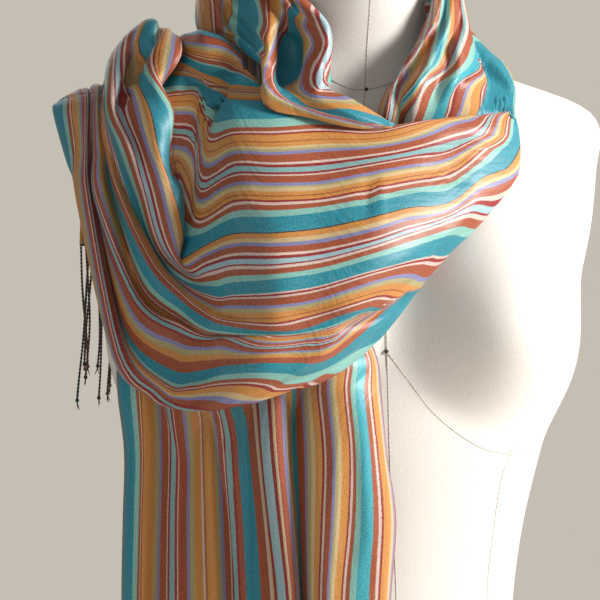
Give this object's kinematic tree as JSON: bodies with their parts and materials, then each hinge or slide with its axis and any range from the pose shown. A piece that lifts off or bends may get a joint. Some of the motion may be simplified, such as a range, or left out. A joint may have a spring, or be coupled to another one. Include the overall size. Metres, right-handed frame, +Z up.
{
  "type": "silk scarf on dress form",
  "caption": "Striped silk scarf with twisted fringe, wound round the neck and across the chest of a limbless dress form.",
  "frame": {"origin": "on the floor under the vertical axis of the dress form, in the plane of its flat base", "axes": "+Z up along the form, -Y the way the form faces, +X towards the form's left side"},
  "size_m": [0.4173, 0.2739, 0.735],
  "materials": {
    "form_canvas": "plain woven canvas",
    "silk": "satin silk with lengthwise stripes",
    "fringe_silk": "twisted silk cords"
  },
  "bodies": {
    "root": {"form": "form_canvas", "cowl": "silk", "neck_loop_left": "silk", "neck_loop_right": "silk", "front_tail": "silk", "back_tail": "silk", "fringe_front": "fringe_silk", "fringe_back": "fringe_silk"}
  },
  "joints": []
}
